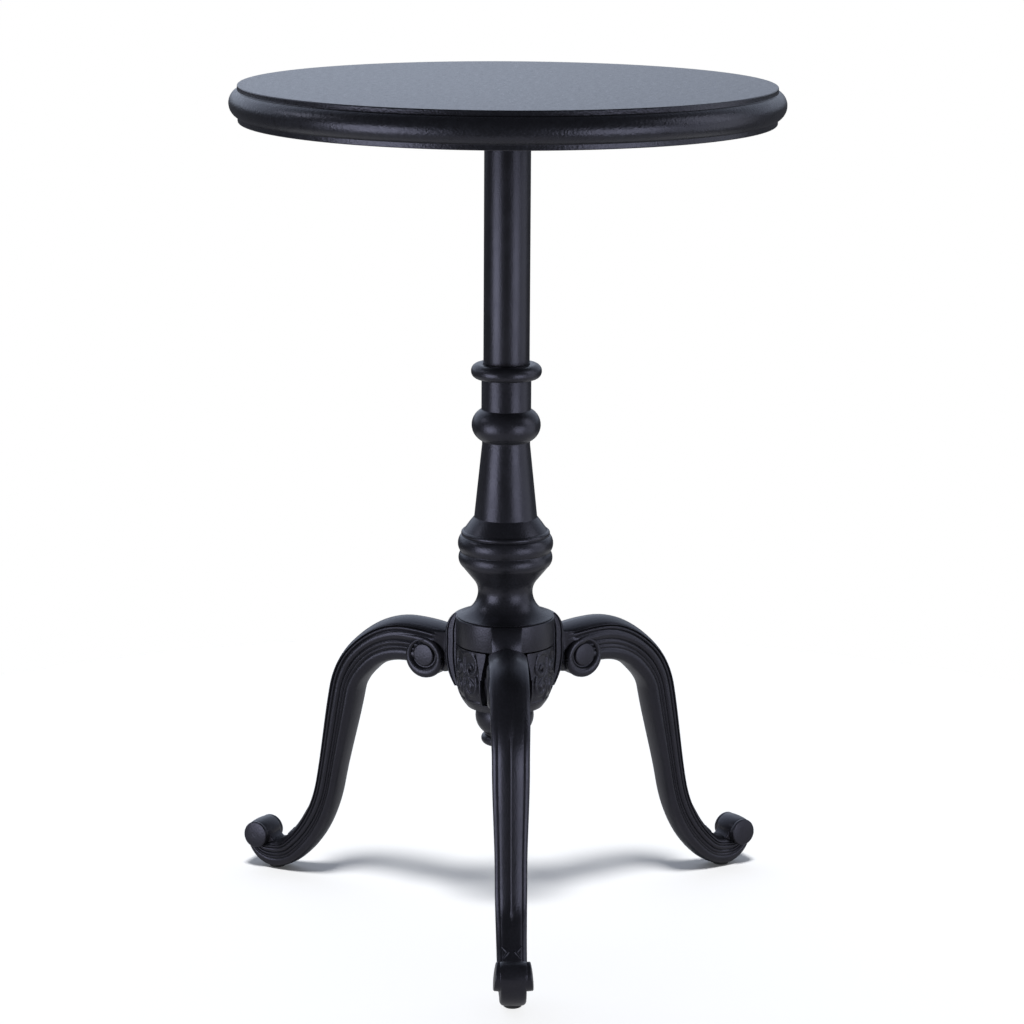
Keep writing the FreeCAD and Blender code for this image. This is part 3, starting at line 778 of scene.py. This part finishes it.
def place_at(places, height):
    """Place where the leg's outer face comes down to a height."""
    for above, below in zip(places, places[1:]):
        high, low = face_height(above), face_height(below)
        if above.heading > 0 and low <= height <= high:
            share = (high - height) / (high - low)
            return Place(*(a + (b - a) * share for a, b in zip(above, below)))


def foot_leaves(places):
    """Small carved leaf on each side of the face, above the scroll."""
    bm = bmesh.new()
    leaf = [(9.8, 40.8), (8, 39.8), (6, 38.4), (3.8, 37), (5.5, 36), (7, 35), (8.6, 33.6)]
    for side in (-1, 1):
        line = stroke([(across * side, height, 0) for across, height in leaf])
        path = [leg_point(place_at(places, point.y), leaf_out, point.x) for point in line]
        bead(bm, path, swelling(len(path), leaf_radius, 0.5))
    return bm


def leg_shape():
    """One leg along +X, and the distance of its sole from the table's axis."""
    places = leg_places()
    sole = places[-1].distance
    first = places[0]
    sunk = first._replace(
        distance=first.distance - root_sink * math.cos(first.heading),
        height=first.height + root_sink * math.sin(first.heading),
    )
    bm = leg_arm([sunk] + places + curl_places(sole))
    for part in (root_pad(), volute(places), foot_scroll(sole), foot_leaves(places)):
        add(bm, part)
        part.free()
    return bm, sole


leg, sole = leg_shape()
for name, angle in leg_angles.items():
    copy = bmesh.new()
    add(copy, leg, Matrix.Rotation(math.radians(angle), 4, "Z"))
    piece("cast_" + name, copy, cast_paint, "cast_black", name)
leg.free()

pad = bmesh.new()
draw(pad, [(0, 0), (6.4, 0), (7, 0.6), (7, 3.5), (3, 3.5), (3, 12.5), (0, 12.5)], False)
soften(pad, 0.3)
turn(pad, pad_round_steps)
glides = bmesh.new()
for angle in leg_angles.values():
    place = Matrix.Rotation(math.radians(angle), 4, "Z") @ Matrix.Translation((sole * mm, 0, 0))
    add(glides, pad, place)
pad.free()
piece("nylon_glides", glides, glide_nylon, "glide_nylon", "foot_glides")

# Pieces that keep their own shape

for node, paint in (
    ("top_flange", tube_paint),
    ("flange_screws", bright_steel),
    ("tie_rod", bright_steel),
    ("tie_rod_washer", bright_steel),
    ("tie_rod_top_nut", bright_steel),
    # The clamp plate and its nut are painted black, which also serves as painted shade in the openings
    # beside the legs where they show
    ("hub_clamp_plate", tube_paint),
    ("hub_clamp_nut", tube_paint),
    ("leg_bolts", bright_steel),
    ("leg_bolt_washers", bright_steel),
):
    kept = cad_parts[node].data
    kept.materials.clear()
    kept.materials.append(paint)


# Stage: floor, light and camera

def floor_disc(radius):
    """Floor that is white to the camera and pale grey to the object, with the object's shadow on it."""
    bm = bmesh.new()
    bmesh.ops.create_circle(bm, cap_ends=True, segments=96, radius=radius)
    mesh = bpy.data.meshes.new("floor")
    bm.to_mesh(mesh)
    bm.free()
    made = bpy.data.objects.new("floor", mesh)
    bpy.context.scene.collection.objects.link(made)
    made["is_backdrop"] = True
    material = bpy.data.materials.new("pale_floor")
    material.use_nodes = True
    tree = material.node_tree
    tree.nodes.clear()
    add_node, link = tree.nodes.new, tree.links.new
    white = add_node("ShaderNodeBsdfDiffuse")
    white.inputs["Color"].default_value = (0.8, 0.8, 0.8, 1)
    glow = add_node("ShaderNodeEmission")
    glow.inputs["Strength"].default_value = 0.06
    seen = add_node("ShaderNodeAddShader")
    grey = add_node("ShaderNodeBsdfDiffuse")
    grey.inputs["Color"].default_value = (0.4, 0.4, 0.4, 1)
    rays = add_node("ShaderNodeLightPath")
    pick = add_node("ShaderNodeMixShader")
    result = add_node("ShaderNodeOutputMaterial")
    link(white.outputs["BSDF"], seen.inputs[0])
    link(glow.outputs["Emission"], seen.inputs[1])
    link(rays.outputs["Is Camera Ray"], pick.inputs["Fac"])
    link(grey.outputs["BSDF"], pick.inputs[1])
    link(seen.outputs["Shader"], pick.inputs[2])
    link(pick.outputs["Shader"], result.inputs["Surface"])
    mesh.materials.append(material)
    return made


def studio_world():
    """White to the camera. To the object: a pale backdrop behind it and a dim room elsewhere."""
    world = bpy.data.worlds.new("studio")
    bpy.context.scene.world = world
    world.use_nodes = True
    tree = world.node_tree
    tree.nodes.clear()
    add_node, link = tree.nodes.new, tree.links.new
    direction = add_node("ShaderNodeTexCoord")
    parts = add_node("ShaderNodeSeparateXYZ")
    link(direction.outputs["Generated"], parts.inputs["Vector"])

    def band(axis, low, high, start=0.0, end=1.0):
        share = add_node("ShaderNodeMapRange")
        share.interpolation_type = "SMOOTHSTEP"
        share.inputs["From Min"].default_value = low
        share.inputs["From Max"].default_value = high
        share.inputs["To Min"].default_value = start
        share.inputs["To Max"].default_value = end
        link(parts.outputs[axis], share.inputs["Value"])
        return share.outputs["Result"]

    def product(first, second):
        both = add_node("ShaderNodeMath")
        both.operation = "MULTIPLY"
        link(first, both.inputs[0])
        link(second, both.inputs[1])
        return both.outputs["Value"]

    behind = product(band("Y", 0.2, 0.75), band("Z", -0.03, 0.12))
    seen = product(behind, band("X", -0.05, 0.25, 1.04, 0.65))
    shade = add_node("ShaderNodeMix")
    shade.data_type = "RGBA"
    shade.inputs["A"].default_value = (0.075, 0.078, 0.09, 1)
    shade.inputs["B"].default_value = (0.9, 1.01, 1.22, 1)
    link(seen, shade.inputs["Factor"])
    room = add_node("ShaderNodeBackground")
    link(shade.outputs["Result"], room.inputs["Color"])
    white = add_node("ShaderNodeBackground")
    white.inputs["Color"].default_value = (1, 1, 1, 1)
    rays = add_node("ShaderNodeLightPath")
    pick = add_node("ShaderNodeMixShader")
    result = add_node("ShaderNodeOutputWorld")
    link(rays.outputs["Is Camera Ray"], pick.inputs["Fac"])
    link(room.outputs["Background"], pick.inputs[1])
    link(white.outputs["Background"], pick.inputs[2])
    link(pick.outputs["Shader"], result.inputs["Surface"])


def lamp(name, kind, where, aim, energy, colour):
    """Light at a place, turned to its aim and unseen by the camera."""
    light = bpy.data.lights.new(name, kind)
    light.energy = energy
    light.color = colour
    made = bpy.data.objects.new(name, light)
    bpy.context.scene.collection.objects.link(made)
    made.location = where
    made.rotation_euler = (Vector(aim) - Vector(where)).to_track_quat("-Z", "Y").to_euler()
    made.visible_camera = False
    return made


def softbox(name, bearing, distance, width, radiance, height=0.1, tall=1.2):
    """Upright soft light, by its bearing from the camera's side, left negative."""
    cool = (0.86, 0.91, 1.0)
    turn_by = math.radians(bearing)
    where = (distance * math.sin(turn_by), -distance * math.cos(turn_by), height)
    made = lamp(name, "AREA", where, (0, 0, height), radiance * math.pi * width * tall, cool)
    made.data.shape = "RECTANGLE"
    made.data.size = width
    made.data.size_y = tall
    return made


floor = floor_disc(0.9)
studio_world()
# Bearing, distance, width and radiance of each
boxes = [
    softbox("left_box", -55, 1.7, 1.1, 4.5),
    softbox("left_high", -97, 1.8, 0.5, 3.0, height=1.5, tall=0.6),
    softbox("right_box", 43, 1.8, 1.1, 3.4),
    softbox("right_fill", 88, 1.8, 1.3, 1.0),
    softbox("right_high", 85, 1.8, 1.0, 1.8, height=1.4, tall=1.3),
]
overhead = lamp("overhead", "SUN", (-0.05, -0.55, 2), (0, 0, 0), 3.15, (1, 1, 1))
overhead.data.angle = math.radians(14)

floor_only = bpy.data.collections.new("floor_only")
floor_only.objects.link(floor)
low_pieces = bpy.data.collections.new("low_pieces")
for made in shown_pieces():
    if made.name in ("cast_leg_right", "cast_leg_left", "hub_drum", "nylon_glides"):
        low_pieces.objects.link(made)
overhead.light_linking.receiver_collection = floor_only
overhead.light_linking.blocker_collection = low_pieces
all_but_floor = bpy.data.collections.new("all_but_floor")
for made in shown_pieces():
    all_but_floor.objects.link(made)
for box in boxes:
    box.light_linking.receiver_collection = all_but_floor

camera_place = (0.00523, -2.60223, 0.93497)
camera_bearing, camera_pitch, camera_roll = -1.99, 0.22254, 0.00586
view = bpy.data.cameras.new("view")
view.sensor_width = 36
view.lens = 112.96
camera = bpy.data.objects.new("view", view)
bpy.context.scene.collection.objects.link(camera)
swing = Matrix.Rotation(math.radians(camera_bearing), 4, "Z")
tilt = Matrix.Rotation(math.pi / 2 - camera_pitch, 4, "X") @ Matrix.Rotation(camera_roll, 4, "Z")
camera.matrix_world = swing @ Matrix.Translation(camera_place) @ tilt
bpy.context.scene.camera = camera
bpy.context.scene.view_settings.view_transform = "Standard"
